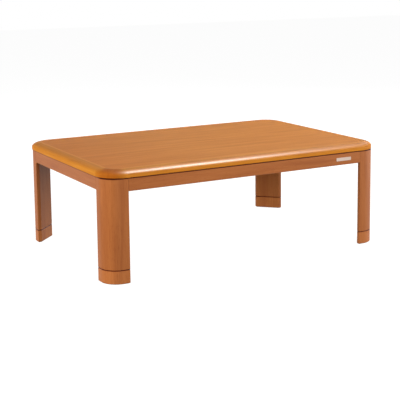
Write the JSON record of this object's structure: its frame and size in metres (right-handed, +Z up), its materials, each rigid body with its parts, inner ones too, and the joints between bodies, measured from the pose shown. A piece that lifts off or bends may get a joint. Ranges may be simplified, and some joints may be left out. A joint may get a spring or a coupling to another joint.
{
  "type": "kotatsu table",
  "caption": "Low rectangular wooden heated table with round corners, a bull-nosed edging, bolt-on leg extensions and a heater under the middle.",
  "frame": {"origin": "On the floor under the middle of the tabletop.", "axes": "+X along the long side, towards the badge end. -Y faces the long side with the badge. +Z up, out of the tabletop."},
  "size_m": [1.2, 0.8, 0.411],
  "materials": {
    "face_wood": "lacquered straight-grained sheet",
    "edging_wood": "glossy lacquered solid wood",
    "frame_wood": "satin lacquered wood",
    "core_board": "raw board",
    "rail_wood": "raw planed wood",
    "badge_plate": "satin plate",
    "rest_rubber": "soft pad",
    "foot_felt": "dense felt",
    "zinc_steel": "zinc plated",
    "pan_steel": "galvanised sheet",
    "reflector_aluminium": "polished sheet",
    "bezel_plastic": "moulded heat-proof plastic",
    "inlet_plastic": "moulded plastic",
    "tube_glass": "clear quartz",
    "element_wire": "resistance wire",
    "holder_ceramic": "matt glazed ceramic",
    "spring_steel": "spring steel",
    "guard_wire": "bright plated wire",
    "motor_can": "coated can",
    "impeller_sheet": "pressed sheet",
    "control_body": "phenolic body",
    "fuse_body": "ceramic-coated body",
    "lead_jacket": "silicone insulation",
    "pin_brass": "turned pins"
  },
  "bodies": {
    "frame": {"front_apron": "frame_wood", "back_apron": "frame_wood", "left_apron": "frame_wood", "right_apron": "frame_wood", "front_left_leg": "frame_wood", "front_left_extension": "frame_wood", "front_right_leg": "frame_wood", "front_right_extension": "frame_wood", "back_left_leg": "frame_wood", "back_left_extension": "frame_wood", "back_right_leg": "frame_wood", "back_right_extension": "frame_wood", "front_left_brace": "rail_wood", "front_right_brace": "rail_wood", "back_left_brace": "rail_wood", "back_right_brace": "rail_wood", "left_cross_rail": "rail_wood", "right_cross_rail": "rail_wood", "front_heater_rail": "rail_wood", "back_heater_rail": "rail_wood", "left_slat": "rail_wood", "right_slat": "rail_wood", "locating_dowels": "rail_wood", "badge": "badge_plate", "rest_pads": "rest_rubber", "foot_pads": "foot_felt", "extension_bolts": "zinc_steel", "threaded_inserts": "zinc_steel", "brace_screws": "zinc_steel", "hanger_bolts": "zinc_steel", "leg_nuts": "zinc_steel", "case_screws": "zinc_steel", "motor_screws": "zinc_steel", "heater_pan": "pan_steel", "reflector": "reflector_aluminium", "heater_bezel": "bezel_plastic", "inlet_socket": "inlet_plastic", "quartz_tube": "tube_glass", "heating_element": "element_wire", "tube_holders": "holder_ceramic", "tube_clip": "spring_steel", "heater_guard": "guard_wire", "fan_motor": "motor_can", "thermostat": "control_body", "thermal_fuse": "fuse_body", "lead_wires": "lead_jacket", "inlet_pins": "pin_brass"},
    "tabletop": {"top_core": "core_board", "top_face": "face_wood", "top_backing": "core_board", "front_edging": "edging_wood", "back_edging": "edging_wood", "left_edging": "edging_wood", "right_edging": "edging_wood", "front_left_corner_edging": "edging_wood", "front_right_corner_edging": "edging_wood", "back_left_corner_edging": "edging_wood", "back_right_corner_edging": "edging_wood"},
    "fan": {"fan_impeller": "impeller_sheet", "fan_shaft": "spring_steel"}
  },
  "joints": [
    {"name": "tabletop_lift", "type": "slide", "parent": "frame", "child": "tabletop", "axis": [0, 0, 1], "range_m": [0, 0.12]},
    {"name": "fan_spin", "type": "hinge", "parent": "frame", "child": "fan", "pos_m": [0, 0, 0.346], "axis": [0, 0, 1], "continuous": true}
  ]
}
